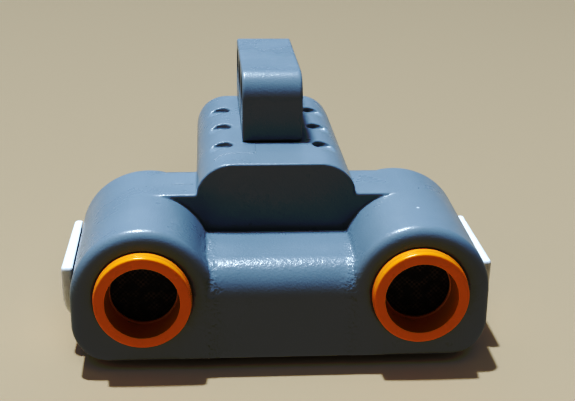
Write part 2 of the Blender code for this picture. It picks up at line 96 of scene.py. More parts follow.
def slab(value, low, high):
    # Between low and high: the greater of low - value and value - high.
    return np.maximum(low - value, value - high)


# How a net's points settle: over how many steps, with slopes taken over that reach in millimetres.
settling = {"steps": 3, "reach": 0.02, "leastSteepness": 0.3, "longestStep": 0.15}


def netSurface(field, xs, ys, zs):
    # Surface net: each grid cell that the surface crosses holds one point, the mean of the crossings on
    # its edges, and each grid edge that is crossed joins its four cells' points by a face. The points then
    # settle on the surface by Newton's step, point - value * slope / |slope|^2.
    axes = (xs, ys, zs)
    values = field(xs[:, None, None], ys[None, :, None], zs[None, None, :])
    cellCounts = [len(axis) - 1 for axis in axes]
    cellIds, crossings, quads = [], [], []
    for axis in range(3):
        first = [slice(None)] * 3
        second = [slice(None)] * 3
        first[axis] = slice(0, -1)
        second[axis] = slice(1, None)
        a, b = values[tuple(first)], values[tuple(second)]
        where = np.argwhere((a < 0) != (b < 0))
        startValue = a[tuple(where.T)]
        share = startValue / (startValue - b[tuple(where.T)])
        point = np.stack([axes[k][where[:, k]] for k in range(3)], axis=1)
        point[:, axis] += share * (axes[axis][where[:, axis] + 1] - axes[axis][where[:, axis]])
        across = [k for k in range(3) if k != axis]
        ring = []
        for stepA, stepB in ((1, 1), (0, 1), (0, 0), (1, 0)):
            cell = where.copy()
            cell[:, across[0]] -= stepA
            cell[:, across[1]] -= stepB
            ring.append(np.ravel_multi_index(cell.T, cellCounts))
        quad = np.stack(ring, axis=1)
        turned = (startValue < 0) == (axis == 1)
        quad[turned] = quad[turned][:, ::-1]
        quads.append(quad)
        cellIds.append(quad.ravel())
        crossings.append(np.repeat(point, 4, axis=0))
    used, inverse = np.unique(np.concatenate(cellIds), return_inverse=True)
    crossings = np.concatenate(crossings)
    count = np.bincount(inverse)
    points = np.stack([np.bincount(inverse, crossings[:, k]) / count for k in range(3)], axis=1)
    faces = np.searchsorted(used, np.concatenate(quads))
    reach, longest = settling["reach"], settling["longestStep"]
    for _ in range(settling["steps"]):
        value = field(*points.T)
        slope = np.empty_like(points)
        for k in range(3):
            step = np.zeros(3)
            step[k] = reach
            slope[:, k] = (field(*(points + step).T) - field(*(points - step).T)) / (2 * reach)
        steepness = np.maximum((slope * slope).sum(axis=1), settling["leastSteepness"])
        points -= np.clip(value / steepness, -longest, longest)[:, None] * slope
    return points, faces


def profileSurface(profile, centreX, centreZ, turns):
    # A closed profile of (radius, y) turned about the axis along Y through the centre:
    # point(i, a) = centre + radius_i (cos a, sin a) across, y_i along. Its faces point outwards when the
    # profile runs inwards at its front end and outwards at its rear.
    angle = np.linspace(0, 2 * math.pi, turns, endpoint=False)
    radius, along = profile[:, :1], profile[:, 1:]
    across = centreX + radius * np.cos(angle)
    upward = centreZ + radius * np.sin(angle)
    grid = np.stack([across, np.broadcast_to(along, across.shape), upward], axis=-1)
    rows = len(profile)
    row = np.arange(rows)[:, None]
    column = np.arange(turns)[None, :]
    nextRow, nextColumn = (row + 1) % rows, (column + 1) % turns
    corners = [
        row * turns + column,
        row * turns + nextColumn,
        nextRow * turns + nextColumn,
        nextRow * turns + column,
    ]
    faces = np.stack(np.broadcast_arrays(*corners), axis=-1).reshape(-1, 4).tolist()
    return grid.reshape(-1, 3), faces


def softCorners(points, radii, steps=5, shut=True):
    # Each corner becomes a quadratic curve from one leg to the other: (1-t)^2 in + 2t(1-t) corner + t^2 out.
    # An unshut line keeps its two ends.
    points = np.asarray(points, float)
    t = np.linspace(0, 1, steps + 1)[:, None]
    softened = []
    for index, (point, radius) in enumerate(zip(points, radii)):
        atEnd = not shut and index in (0, len(points) - 1)
        if radius == 0 or atEnd:
            softened.append(point[None, :])
            continue
        toLast = points[index - 1] - point
        toNext = points[(index + 1) % len(points)] - point
        start = point + toLast / np.linalg.norm(toLast) * radius
        end = point + toNext / np.linalg.norm(toNext) * radius
        softened.append((1 - t) ** 2 * start + 2 * t * (1 - t) * point + t**2 * end)
    return np.concatenate(softened)


def tubeSurface(route, radius, sides):
    # A round wire along a route: point(i, a) = route_i + radius (cos a sideways_i + sin a upward_i).
    route = np.asarray(route, float)
    along = np.gradient(route, axis=0)
    along /= np.linalg.norm(along, axis=1)[:, None]
    # The ring starts across the route and X, or across the route and Z where the route runs along X.
    alongX = abs(along[:, 0]).max() > 0.9
    first = np.cross(along, (0.0, 0.0, 1.0) if alongX else (1.0, 0.0, 0.0))
    first /= np.linalg.norm(first, axis=1)[:, None]
    second = np.cross(along, first)
    angle = np.linspace(0, 2 * math.pi, sides, endpoint=False)
    cosine, sine = np.cos(angle)[None, :, None], np.sin(angle)[None, :, None]
    grid = route[:, None] + radius * (cosine * first[:, None] + sine * second[:, None])
    rows = len(route)
    row = np.arange(rows - 1)[:, None]
    column = np.arange(sides)[None, :]
    nextColumn = (column + 1) % sides
    corners = [
        row * sides + column,
        row * sides + nextColumn,
        (row + 1) * sides + nextColumn,
        (row + 1) * sides + column,
    ]
    faces = np.stack(np.broadcast_arrays(*corners), axis=-1).reshape(-1, 4).tolist()
    faces.append(list(range(sides))[::-1])
    faces.append(list(range((rows - 1) * sides, rows * sides)))
    return grid.reshape(-1, 3), faces


def joined(*surfaces):
    # Several surfaces as one: each one's faces count on from the points before it.
    points, faces, start = [], [], 0
    for surfacePoints, surfaceFaces in surfaces:
        points.append(np.asarray(surfacePoints, float))
        faces += [[start + index for index in face] for face in surfaceFaces]
        start += len(surfacePoints)
    return np.concatenate(points), faces


def addPiece(name, surface, material, stands, body="sensor_body", sharpAngle=None):
    # Makes a surface an object in metres. It rides its body, and stands for the CAD nodes that it names.
    points, faces = surface
    mesh = bpy.data.meshes.new(name)
    faceList = faces.tolist() if isinstance(faces, np.ndarray) else faces
    mesh.from_pydata(place(points).tolist(), [], faceList)
    mesh.shade_smooth()
    if sharpAngle:
        mesh.set_sharp_from_angle(angle=math.radians(sharpAngle))
    mesh.materials.append(material)
    piece = bpy.data.objects.new(name, mesh)
    bpy.context.scene.collection.objects.link(piece)
    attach(piece, body)
    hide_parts(*stands)
    return piece


print("surface tools ready")


# Materials
def newMaterial(name, colour, roughness, metallic=0.0, specular=0.5, coat=0.0):
    material = bpy.data.materials.new(name)
    material.use_nodes = True
    shader = material.node_tree.nodes["Principled BSDF"]
    shader.inputs["Base Color"].default_value = (*colour, 1)
    shader.inputs["Roughness"].default_value = roughness
    shader.inputs["Metallic"].default_value = metallic
    shader.inputs["Specular IOR Level"].default_value = specular
    shader.inputs["Coat Weight"].default_value = coat
    return material, material.node_tree.nodes, material.node_tree.links, shader


def noiseOn(nodes, links, scale, detail=3.0):
    # Noise over Object coordinates. The scale is in features a metre.
    coordinates = nodes.new("ShaderNodeTexCoord")
    noise = nodes.new("ShaderNodeTexNoise")
    noise.inputs["Scale"].default_value = scale
    noise.inputs["Detail"].default_value = detail
    links.new(coordinates.outputs["Object"], noise.inputs["Vector"])
    return noise.outputs["Fac"]


def ramp(nodes, links, value, stops):
    # Maps a value through colour or grey stops, (position, (r, g, b)).
    node = nodes.new("ShaderNodeValToRGB")
    elements = node.color_ramp.elements
    while len(elements) < len(stops):
        elements.new(0.5)
    for element, (position, colour) in zip(elements, stops):
        element.position = position
        element.color = (*colour, 1)
    links.new(value, node.inputs["Fac"])
    return node.outputs["Color"]


def mixColours(nodes, links, factor, first, second):
    # A mix node's sockets 6 and 7 take its two colours, and its output 2 gives the mixed one.
    node = nodes.new("ShaderNodeMix")
    node.data_type = "RGBA"
    links.new(factor, node.inputs["Factor"])
    for socket, colour in ((node.inputs[6], first), (node.inputs[7], second)):
        if isinstance(colour, tuple):
            socket.default_value = (*colour, 1)
        else:
            links.new(colour, socket)
    return node.outputs[2]


def addBump(nodes, links, shader, height, strength, distance):
    bump = nodes.new("ShaderNodeBump")
    bump.inputs["Strength"].default_value = strength
    bump.inputs["Distance"].default_value = distance
    links.new(height, bump.inputs["Height"])
    links.new(bump.outputs["Normal"], shader.inputs["Normal"])


def specks(nodes, links, scale, size, share, softEdge=0.06):
    # Small round dots, 1 inside and 0 outside, on about that share of the Voronoi cells.
    coordinates = nodes.new("ShaderNodeTexCoord")
    cells = nodes.new("ShaderNodeTexVoronoi")
    cells.inputs["Scale"].default_value = scale
    links.new(coordinates.outputs["Object"], cells.inputs["Vector"])
    edge = [(size, (1, 1, 1)), (size + softEdge, (0, 0, 0))]
    dot = ramp(nodes, links, cells.outputs["Distance"], edge)
    chosen = nodes.new("ShaderNodeSeparateColor")
    links.new(cells.outputs["Color"], chosen.inputs["Color"])
    # The stops lie so close together that a cell is either picked or not.
    choice = [(share, (1, 1, 1)), (share + 0.001, (0, 0, 0))]
    picked = ramp(nodes, links, chosen.outputs["Red"], choice)
    both = nodes.new("ShaderNodeMath")
    both.operation = "MULTIPLY"
    links.new(dot, both.inputs[0])
    links.new(picked, both.inputs[1])
    return both.outputs["Value"]


def mouldedPlastic(name, look):
    # Satin moulded plastic: a colour that drifts a little, a fine spark-eroded grain, slow waves in its
    # gloss where hands have polished it, and a few specks: dust, which on the grey and black are also painted
    # glints.
    material, nodes, links, shader = newMaterial(
        name, look["colour"], look["roughness"], specular=look["specular"]
    )
    drift = noiseOn(nodes, links, look["driftScale"])
    tint = ramp(nodes, links, drift, [(0.3, look["colour"]), (0.7, look["otherColour"])])
    speckMask = specks(nodes, links, look["speckScale"], look["speckSize"], look["speckShare"])
    # The specks' colour: dust, and on the grey and black plastic near-white painted glints.
    colour = mixColours(nodes, links, speckMask, tint, look["speckColour"])
    links.new(colour, shader.inputs["Base Color"])
    wear = noiseOn(nodes, links, look["wearScale"], detail=4.0)
    low, high = look["roughness"] - look["roughnessSpread"], look["roughness"] + look["roughnessSpread"]
    gloss = ramp(nodes, links, wear, [(0.35, (low,) * 3), (0.65, (high,) * 3)])
    links.new(gloss, shader.inputs["Roughness"])
    grain = noiseOn(nodes, links, look["grainScale"], detail=2.0)
    # Along the creases, which the attribute marks, the mould left a rougher, sparkling grain.
    coarse = noiseOn(nodes, links, look["creaseScale"], detail=3.0)
    marked = nodes.new("ShaderNodeAttribute")
    marked.attribute_name = "crease"
    rougher = nodes.new("ShaderNodeMath")
    rougher.operation = "MULTIPLY"
    links.new(coarse, rougher.inputs[0])
    links.new(marked.outputs["Fac"], rougher.inputs[1])
    height = nodes.new("ShaderNodeMath")
    height.operation = "MULTIPLY_ADD"
    height.inputs[1].default_value = look["creaseDepth"]
    links.new(rougher.outputs["Value"], height.inputs[0])
    links.new(grain, height.inputs[2])
    addBump(nodes, links, shader, height.outputs["Value"], look["grainStrength"], look["grainDepth"])
    return material


def shadeBore(material, look):
    # Painted shade in the ring's bore: the colour turns browner with Object Y behind the face, the deeper in
    # the more.
    nodes, links = material.node_tree.nodes, material.node_tree.links
    shader = nodes["Principled BSDF"]
    colour = shader.inputs["Base Color"].links[0].from_socket
    coordinates = nodes.new("ShaderNodeTexCoord")
    split = nodes.new("ShaderNodeSeparateXYZ")
    links.new(coordinates.outputs["Object"], split.inputs["Vector"])
    depth = nodes.new("ShaderNodeMapRange")
    depth.inputs["From Min"].default_value = faceY + look["boreFrom"] * millimetre
    depth.inputs["From Max"].default_value = faceY + look["boreTo"] * millimetre
    links.new(split.outputs["Y"], depth.inputs["Value"])
    # Painted shade: the bore's colour, mixed in by depth.
    shadedColour = mixColours(nodes, links, depth.outputs["Result"], colour, look["boreShadeColour"])
    links.new(shadedColour, shader.inputs["Base Color"])


greyLook = {
    "colour": (0.205, 0.226, 0.240),
    "otherColour": (0.222, 0.244, 0.260),
    "roughness": 0.3,
    "roughnessSpread": 0.04,
    "specular": 0.6,
    "driftScale": 90.0,
    "wearScale": 160.0,
    "grainScale": 4600.0,
    "grainStrength": 0.5,
    "grainDepth": 0.00006,
    "creaseScale": 2000.0,
    "creaseDepth": 9.0,
    "speckScale": 420.0,
    "speckSize": 0.05,
    "speckShare": 0.006,
    # Near-white specks: partly dust, partly painted glints. The black plastic takes these too.
    "speckColour": (0.8, 0.8, 0.78),
}
whiteLook = {
    **greyLook,
    "colour": (0.80, 0.78, 0.75),
    "otherColour": (0.84, 0.82, 0.79),
    "roughness": 0.38,
    "specular": 0.5,
    "speckColour": (0.42, 0.38, 0.32),
    "speckShare": 0.012,
}
orangeLook = {
    **greyLook,
    "colour": (0.84, 0.28, 0.003),
    "otherColour": (0.88, 0.31, 0.004),
    "roughness": 0.27,
    "specular": 0.6,
    # The bore's colour is painted shade, mixed in from boreFrom to boreTo behind the face.
    "boreFrom": -1.4,
    "boreTo": 0.6,
    "boreShadeColour": (0.80, 0.32, 0.06),
    "grainStrength": 0.2,
    "speckColour": (0.8, 0.6, 0.45),
    "speckShare": 0.015,
    "speckSize": 0.06,
}
blackLook = {
    **greyLook,
    "colour": (0.012, 0.012, 0.013),
    "otherColour": (0.018, 0.018, 0.019),
    "roughness": 0.42,
    "specular": 0.5,
}
greyPlastic = mouldedPlastic("greyShellPlastic", greyLook)
whitePlastic = mouldedPlastic("whiteShellPlastic", whiteLook)
orangePlastic = mouldedPlastic("orangeRingPlastic", orangeLook)
shadeBore(orangePlastic, orangeLook)
blackPlastic = mouldedPlastic("blackSocketPlastic", blackLook)


# The brown thread colour is a painted glint on the weave. The hole colour is the screen's own black.
screenLook = {
    "threadsAMetre": 3400.0,
    "glintPatchScale": 900.0,
    "paintedGlint": (0.11, 0.075, 0.05),
    "hole": (0.004, 0.0035, 0.003),
}


def screenMaterial():
    # Black woven screen: a checker paints brown glints on the threads' crowns into the colour, a painted
    # highlight that shows only where a slow noise lets it.
    material, nodes, links, shader = newMaterial("eyeScreenWeave", (0.006, 0.005, 0.0045), 0.6)
    coordinates = nodes.new("ShaderNodeTexCoord")
    squares = nodes.new("ShaderNodeTexChecker")
    squares.inputs["Scale"].default_value = screenLook["threadsAMetre"]
    # Painted glint: the brown squares of the checker.
    squares.inputs["Color1"].default_value = (*screenLook["paintedGlint"], 1)
    squares.inputs["Color2"].default_value = (*screenLook["hole"], 1)
    links.new(coordinates.outputs["Object"], squares.inputs["Vector"])
    glintPatches = noiseOn(nodes, links, screenLook["glintPatchScale"], detail=1.0)
    share = ramp(nodes, links, glintPatches, [(0.42, (0, 0, 0)), (0.62, (1, 1, 1))])
    colour = mixColours(nodes, links, share, screenLook["hole"], squares.outputs["Color"])
    links.new(colour, shader.inputs["Base Color"])
    return material


def metalMaterial(name, colour, roughness, scale):
    material, nodes, links, shader = newMaterial(name, colour, roughness, metallic=1.0)
    streak = noiseOn(nodes, links, scale, detail=5.0)
    gloss = ramp(
        nodes, links, streak, [(0.3, (roughness - 0.08,) * 3), (0.7, (roughness + 0.1,) * 3)]
    )
    links.new(gloss, shader.inputs["Roughness"])
    addBump(nodes, links, shader, streak, 0.1, 0.00003)
    return material


def noisyMaterial(name, first, second, roughness, scale, bump=0.3, depth=0.00006):
    material, nodes, links, shader = newMaterial(name, first, roughness)
    value = noiseOn(nodes, links, scale, detail=4.0)
    links.new(ramp(nodes, links, value, [(0.35, first), (0.65, second)]), shader.inputs["Base Color"])
    addBump(nodes, links, shader, value, bump, depth)
    return material


def boardMaterial():
    # Green solder mask over copper: paler where a grid of tracks lies under it.
    material, nodes, links, shader = newMaterial("solderMask", (0.01, 0.11, 0.045), 0.35, coat=0.3)
    coordinates = nodes.new("ShaderNodeTexCoord")
    bricks = nodes.new("ShaderNodeTexBrick")
    bricks.inputs["Scale"].default_value = 420.0
    bricks.inputs["Mortar Size"].default_value = 0.06
    bricks.inputs["Color1"].default_value = (0.008, 0.095, 0.04, 1)
    bricks.inputs["Color2"].default_value = (0.012, 0.12, 0.05, 1)
    bricks.inputs["Mortar"].default_value = (0.03, 0.2, 0.08, 1)
    links.new(coordinates.outputs["Object"], bricks.inputs["Vector"])
    links.new(bricks.outputs["Color"], shader.inputs["Base Color"])
    return material


materials = {
    "eye_mesh": screenMaterial(),
    "can_metal": metalMaterial("spunAluminium", (0.72, 0.73, 0.74), 0.3, 900.0),
    "contact": metalMaterial("goldPlate", (0.86, 0.62, 0.27), 0.24, 1600.0),
    "foam": noisyMaterial("sleeveFoam", (0.02, 0.02, 0.02), (0.05, 0.05, 0.05), 0.95, 2600.0, 0.8, 0.0002),
    "ceramic": noisyMaterial("piezoCeramic", (0.68, 0.6, 0.43), (0.76, 0.69, 0.52), 0.55, 1400.0),
    "circuit_board": boardMaterial(),
    "chip": noisyMaterial("chipEpoxy", (0.016, 0.016, 0.018), (0.026, 0.026, 0.028), 0.55, 3000.0),
    "led": noisyMaterial("lampEpoxy", (0.82, 0.78, 0.55), (0.9, 0.87, 0.68), 0.2, 700.0, 0.1),
    "ferrite": noisyMaterial("sinteredFerrite", (0.045, 0.04, 0.037), (0.08, 0.072, 0.066), 0.7, 2200.0),
    "grey_shell": greyPlastic,
    "white_shell": whitePlastic,
    "orange_ring": orangePlastic,
    "black_plastic": blackPlastic,
}
# Every CAD node takes the material of its slot.
for entry in frame["record"]["subparts"]:
    node = frame["nodes"][entry["node"]]
    node.data.materials.clear()
    node.data.materials.append(materials[entry["material_slot"]])
print("materials ready")


# Head, bridge, wings and body
headShape = {
    "eyeX": 16.0,
    "eyeZ": 8.0,
    "top": 16.0,
    "outerRadius": 8.4,
    "innerRadius": 8.0,
    "draft": 0.022,
    "bottomRadius": 4.5,
    "faceEdge": 1.4,
    "faceEdgeFrom": 0.5,
    "faceEdgeOver": 4.0,
    "footEdge": 0.35,
    "rearEdge": 0.5,
    "depth": 22.9,
    "wall": 1.4,
    "faceWall": 1.8,
    "wingWall": 1.5,
    "squareInside": 2.0,
    "bridgeTop": 11.3,
    "bridgeEdge": 4.0,
    "bridgeInset": 4.0,
    "crease": 0.15,
    "creaseWidth": 0.9,
    "shoulderZ": 10.9,
    "shoulderSpread": 0.3,
    "shoulderShare": 0.3,
    "bulkhead": 12.5,
    "bulkheadEdge": 0.25,
    "bulkheadFillet": 0.25,
    "filletInset": 1.6,
    "filletFade": 1.5,
    "wingRear": 21.6,
    "wingFillet": 0.3,
    "overlap": 1.0,
    "innerEdge": 0.3,
    "eyeHole": 5.62,
    "eyeHoleDepth": 4.0,
    "eyeHoleEdge": 0.2,
    "lipDepth": 6.6,
    "coverGap": 0.1,
    "coverReach": 0.3,
}
bodyShape = {
    "halfWidth": 10.0,
    "top": 19.9,
    "edge": 4.6,
    "rear": 46.4,
    "rearCorner": 1.8,
    "rearEdge": 0.5,
    "split": 9.35,
    "dimpleX": 6.7,
    "dimpleRadius": 1.55,
    "dimpleFloor": 19.05,
    "dimpleFillet": 0.2,
    "dimpleEdge": 0.1,
    "dimpleYs": (20.9, 29.4, 37.9),
}
coverShape = {
    "cheekX": 25.95,
    "cheekWall": 0.85,
    "cheekTop": 9.3,
    "cheekFront": 6.2,
    "cheekRear": 22.3,
    "cheekInside": 19.5,
    "sweep": 4.5,
    "sweepShare": 0.97,
    "cornerRadius": 5.0,
    "floor": 1.2,
    "edge": 0.35,
    "endEdge": 0.45,
    "seam": 0.14,
    "seamEdge": 0.2,
    "trayCorner": 2.5,
    "trayInnerCorner": 1.5,
    "trayGap": 0.2,
    "trayOverlap": 4.0,
    "innerEdge": 0.25,
    "fillet": 0.3,
}
openingShape = {"halfWidth": 6.8, "low": 4.0, "high": 16.4, "front": 42.0, "corner": 0.5, "edge": 0.4}
keySlotShape = {"half": 2.0, "front": 1.7, "rear": 2.7, "floor": 17.0}
beamLow, beamHigh = cadBox("mounting_beam")


def lobeSection(x, y, z):
    # Front view of a barrel: a circle on top that widens towards the rear, and straight sides below.
    s = headShape
    beyond = np.abs(x) - s["eyeX"]
    outerGrowth = 1 + s["draft"] * np.maximum(y, 0) / s["outerRadius"]
    outwards = np.maximum(beyond, 0) / outerGrowth
    crown = s["top"] - s["outerRadius"]
    outer = np.hypot(outwards, np.maximum(z - crown, 0)) - s["outerRadius"]
    inner = np.hypot(np.minimum(beyond, 0), np.maximum(z - s["eyeZ"], 0)) - s["innerRadius"]
    return np.where(beyond > 0, outer, inner)


def bodySection(x, z):
    # Front view of the body: straight sides and a flat top, with a quarter circle between them.
    return roundBoth(np.abs(x) - bodyShape["halfWidth"], z - bodyShape["top"], bodyShape["edge"])


def bodyPlan(x, y):
    # The body from above: straight sides and a straight rear end, with round corners.
    return roundBoth(np.abs(x) - bodyShape["halfWidth"], y - bodyShape["rear"], bodyShape["rearCorner"])


def coverInside(x, z, extra=0.0):
    # Front view of the space between the cheeks and above the cover's floor, drawn in by the extra.
    c = coverShape
    half = c["cheekX"] - c["cheekWall"] - extra
    return roundBoth(np.abs(x) - half, c["floor"] + extra - z, c["cornerRadius"] - c["cheekWall"])


def socketOpening(x, y, z):
    # The hole for the socket: a rectangle with round corners, from its front backwards.
    o = openingShape
    square = roundBoth(np.abs(x) - o["halfWidth"], slab(z, o["low"], o["high"]), o["corner"])
    return np.maximum(square, o["front"] - y)


def bridgeField(x, y, z):
    # The bridge between the barrels: a bar whose upper front edge is a quarter circle.
    s = headShape
    bridge = roundBoth(z - s["bridgeTop"], -y, s["bridgeEdge"])
    bridge = np.maximum(bridge, roundBoth(-z, -y, s["footEdge"]))
    inwards = np.abs(x) - s["eyeX"] + s["bridgeInset"]
    return np.maximum(bridge, np.maximum(inwards, y - s["bulkhead"] - s["overlap"]))


def housingField(x, y, z):
    # The grey shell as a solid: the nearer of the head and what stands behind it, less the cover's room.
    s, b = headShape, bodyShape
    section = lobeSection(x, y, z)
    # Only the outer lower corners are round.
    squareHere = np.abs(x) < s["eyeX"] - s["squareInside"]
    lobes = np.where(squareHere, np.maximum(section, -z), roundBoth(section, -z, s["bottomRadius"]))
    # The face's edge is well rounded above, and nearly sharp along the bottom.
    rise = np.clip((z - s["faceEdgeFrom"]) / s["faceEdgeOver"], 0, 1)
    faceEdge = s["footEdge"] + (s["faceEdge"] - s["footEdge"]) * rise
    head = roundBoth(lobes, -y, faceEdge)
    head = roundBoth(head, y - s["depth"], s["rearEdge"])
    front = blendEither(head, bridgeField(x, y, z), s["crease"])
    wings = np.maximum(np.maximum(np.abs(x) - s["eyeX"], z - s["top"]), y - s["wingRear"])
    body = roundBoth(bodySection(x, z), bodyPlan(x, y), b["rearEdge"])
    rearward = blendEither(body, wings, s["wingFillet"])
    rearward = roundBoth(rearward, s["bulkhead"] - y, s["bulkheadEdge"])
    # Below the split, the white cover takes over behind the head.
    rearward = np.maximum(rearward, np.minimum(b["split"] - z, y - s["depth"] + s["overlap"]))
    # The fillet under the bulkhead fades out on the barrels.
    inward = np.clip((s["eyeX"] - s["filletInset"] - np.abs(x)) / s["filletFade"], 0, 1)
    outside = blendEither(front, rearward, s["bulkheadFillet"] * inward)
    outside = np.maximum(outside, np.minimum(y - s["lipDepth"], coverInside(x, z, s["coverGap"])))
    return np.maximum(outside, np.minimum(b["split"] - z, y - s["depth"] - s["coverReach"]))


def hollowField(x, y, z):
    # The space inside the walls: 0 within it and above 0 outside it.
    s = headShape
    wall = s["wall"]
    floor = wall - z
    lobes = roundBoth(lobeSection(x, y, z) + wall, floor, s["bottomRadius"] - wall)
    lobes = np.maximum(lobes, slab(y, s["faceWall"], s["depth"] - wall))
    middle = np.maximum(np.abs(x) - s["eyeX"], z - s["bridgeTop"] + wall)
    middle = np.maximum(middle, slab(y, s["faceWall"], s["wingRear"] - wall))
    wings = np.maximum(np.abs(x) - s["eyeX"], z - s["top"] + s["wingWall"])
    wings = np.maximum(wings, slab(y, s["bulkhead"] + wall, s["wingRear"] - wall))
    body = bodySection(x, z) + wall
    body = np.maximum(np.maximum(body, bodyPlan(x, y) + wall), s["bulkhead"] + wall - y)
    hollow = np.minimum(np.minimum(lobes, middle), np.minimum(wings, body))
    return np.maximum(np.maximum(hollow, floor), 0)


def dimplesField(x, y, z):
    # Round, flat-bottomed sinks in the body's top.
    b = bodyShape
    sinks = []
    for dimpleY in b["dimpleYs"]:
        away = np.hypot(np.abs(x) - b["dimpleX"], y - dimpleY) - b["dimpleRadius"]
        sinks.append(roundBoth(away, b["dimpleFloor"] - z, b["dimpleFillet"]))
    return np.minimum.reduce(sinks)


def shellField(x, y, z):
    # The solid less the hollow, the eyes' holes, the dimples, the key's slot and the socket's hole.
    s, k = headShape, keySlotShape
    solid = blendBoth(housingField(x, y, z), -hollowField(x, y, z), s["innerEdge"])
    eyeHole = np.hypot(np.abs(x) - s["eyeX"], z - s["eyeZ"]) - s["eyeHole"]
    solid = blendBoth(solid, -np.maximum(eyeHole, y - s["eyeHoleDepth"]), s["eyeHoleEdge"])
    solid = blendBoth(solid, -dimplesField(x, y, z), bodyShape["dimpleEdge"])
    # The beam's key goes through a slot in the top.
    keySlot = np.maximum(np.abs(x) - k["half"], slab(y, beamLow[1] + k["front"], beamHigh[1] - k["rear"]))
    solid = np.maximum(solid, -np.maximum(keySlot, k["floor"] - z))
    return blendBoth(solid, -socketOpening(x, y, z), openingShape["edge"])


housing = netSurface(
    shellField,
    marks((-26, -9.5, 0.3), (-9.5, -5, 0.2), (-5, 5, 0.5), (5, 9.5, 0.2), (9.5, 26, 0.3)),
    marks((-0.7, 3, 0.23), (3, 11.6, 0.6), (11.6, 13.6, 0.2), (13.6, 19, 0.6), (19, 24, 0.24),
          (24, 27.6, 0.5), (27.6, 31.2, 0.24), (31.2, 36.1, 0.5), (36.1, 39.7, 0.24), (39.7, 45.6, 0.5),
          (45.6, 47.2, 0.24)),
    marks((-0.7, 3, 0.27), (3, 8, 0.4), (8, 20.8, 0.25)),
)


def topHeight(x):
    # Height of the body's top at x: flat, and beyond that sqrt(edge^2 - beyond^2) above the edge's centre.
    beyond = np.maximum(np.abs(x) - bodyShape["halfWidth"] + bodyShape["edge"], 0)
    return bodyShape["top"] - bodyShape["edge"] + np.sqrt(bodyShape["edge"] ** 2 - beyond**2)


def wingHeight(x):
    # The wings' tops are flat.
    return np.full_like(x, headShape["top"])


mouldLine = {"radius": 0.11, "sunk": 0.05, "steps": 12, "sides": 8}


def raisedLine(points, height):
    # A fine raised line that the mould left: a thin tube, partly sunk in the surface.
    points = np.array(points)
    corners = np.arange(len(points))
    share = np.linspace(0, corners[-1], mouldLine["steps"] * corners[-1] + 1)
    x, y = np.interp(share, corners, points[:, 0]), np.interp(share, corners, points[:, 1])
    route = np.stack([x, y, height(x) - mouldLine["sunk"]], axis=1)
    return tubeSurface(route, mouldLine["radius"], mouldLine["sides"])


topLine = raisedLine([(-7.6, 15.9), (-6.9, 16.8), (-5.9, 17.15), (-2.55, 17.15)], topHeight)
topLineEnd = raisedLine([(-2.4, 17.1), (-2.35, 21.2)], topHeight)
wingLine = raisedLine([(-12.9, 16.7), (-10.3, 16.7)], wingHeight)
housingPiece = addPiece("frontHousingShell", joined(housing, topLine, topLineEnd, wingLine), greyPlastic,
                        stands=["front_housing"])


def markCreases(piece, points):
    # Nearness to the creases between barrels and bridge, exp(-(barrel^2 + bridge^2) / width^2) from the
    # distances to the two surfaces, or to the bridge's shoulder, share exp(-(z - shoulder)^2 / spread).
    s = headShape
    x, y, z = points.T
    barrel, bridge = lobeSection(x, y, z), bridgeField(x, y, z)
    nearness = np.exp(-(barrel**2 + bridge**2) / s["creaseWidth"] ** 2)
    shoulder = s["shoulderShare"] * np.exp(-((z - s["shoulderZ"]) ** 2) / s["shoulderSpread"])
    onBridge = (np.abs(x) < s["innerRadius"]) & (y < s["bridgeEdge"])
    nearness = np.maximum(nearness, shoulder * onBridge)
    values = np.zeros(len(piece.data.vertices), np.float32)
    values[: len(points)] = nearness
    attribute = piece.data.attributes.new("crease", "FLOAT", "POINT")
    attribute.data.foreach_set("value", values)


markCreases(housingPiece, housing[0])
print("front housing:", len(housing[0]), "points")


# Beam on top
beamShape = {
    "frontTopRadius": 3.4,
    "rearTopRadius": 0.6,
    "edge": 0.3,
    "footEdge": 0.15,
    "pinRadius": 2.45,
    "recessRadius": 3.1,
    "recessDepth": 0.9,
    "holeEdge": 0.22,
    "holes": 3,
    "module": 8.0,
    "seamGap": 0.12,
    "keyHalf": 1.7,
    "keyFront": 2.0,
    "keyRear": 3.0,
    "keyOverlap": 1.0,
}


def beamField(x, y, z):
    # A bar with a round upper front edge and a key below it, less three bores with a recess at each end.
    s = beamShape
    front, rear, top = beamLow[1], beamHigh[1], beamHigh[2]
    half = beamHigh[0]
    side = roundBoth(front - y, z - top, s["frontTopRadius"])
    side = np.maximum(side, roundBoth(y - rear, z - top, s["rearTopRadius"]))
    side = roundBoth(side, bodyShape["top"] + s["seamGap"] - z, s["footEdge"])
    beam = roundBoth(side, np.abs(x) - half, s["edge"])
    key = np.maximum(np.abs(x) - s["keyHalf"], slab(y, front + s["keyFront"], rear - s["keyRear"]))
    beam = np.minimum(beam, np.maximum(key, slab(z, beamLow[2], bodyShape["top"] + s["keyOverlap"])))
    for hole in range(s["holes"]):
        away = np.hypot(y - front - s["module"] * (hole + 0.5), z - (top - half))
        recess = np.maximum(away - s["recessRadius"], half - s["recessDepth"] - np.abs(x))
        beam = blendBoth(beam, -np.minimum(away - s["pinRadius"], recess), s["holeEdge"])
    return beam


beam = netSurface(
    beamField,
    marks((-4.4, -2.6, 0.2), (-2.6, 2.6, 0.5), (2.6, 4.4, 0.2)),
    marks((beamLow[1] - 0.6, beamHigh[1] + 0.6, 0.22)),
    marks((beamLow[2] - 0.6, beamHigh[2] + 0.6, 0.22)),
)
addPiece("mountingBeamBody", beam, greyPlastic, stands=["mounting_beam"])
print("mounting beam:", len(beam[0]), "points")


# White base cover
footShape = {
    "depth": headZ / millimetre,
    "wall": 1.4,
    "corner": 2.2,
    "edge": 0.4,
    "headHalf": 18.0,
    "headFront": 10.0,
    "headRear": 21.5,
    "bodyHalf": 7.4,
    "bodyFront": 19.0,
    "bodyRear": 44.4,
    "fillet": 0.8,
    "ribY": 32.7,
    "coreTop": -0.3,
    "coreEdge": 0.25,
}


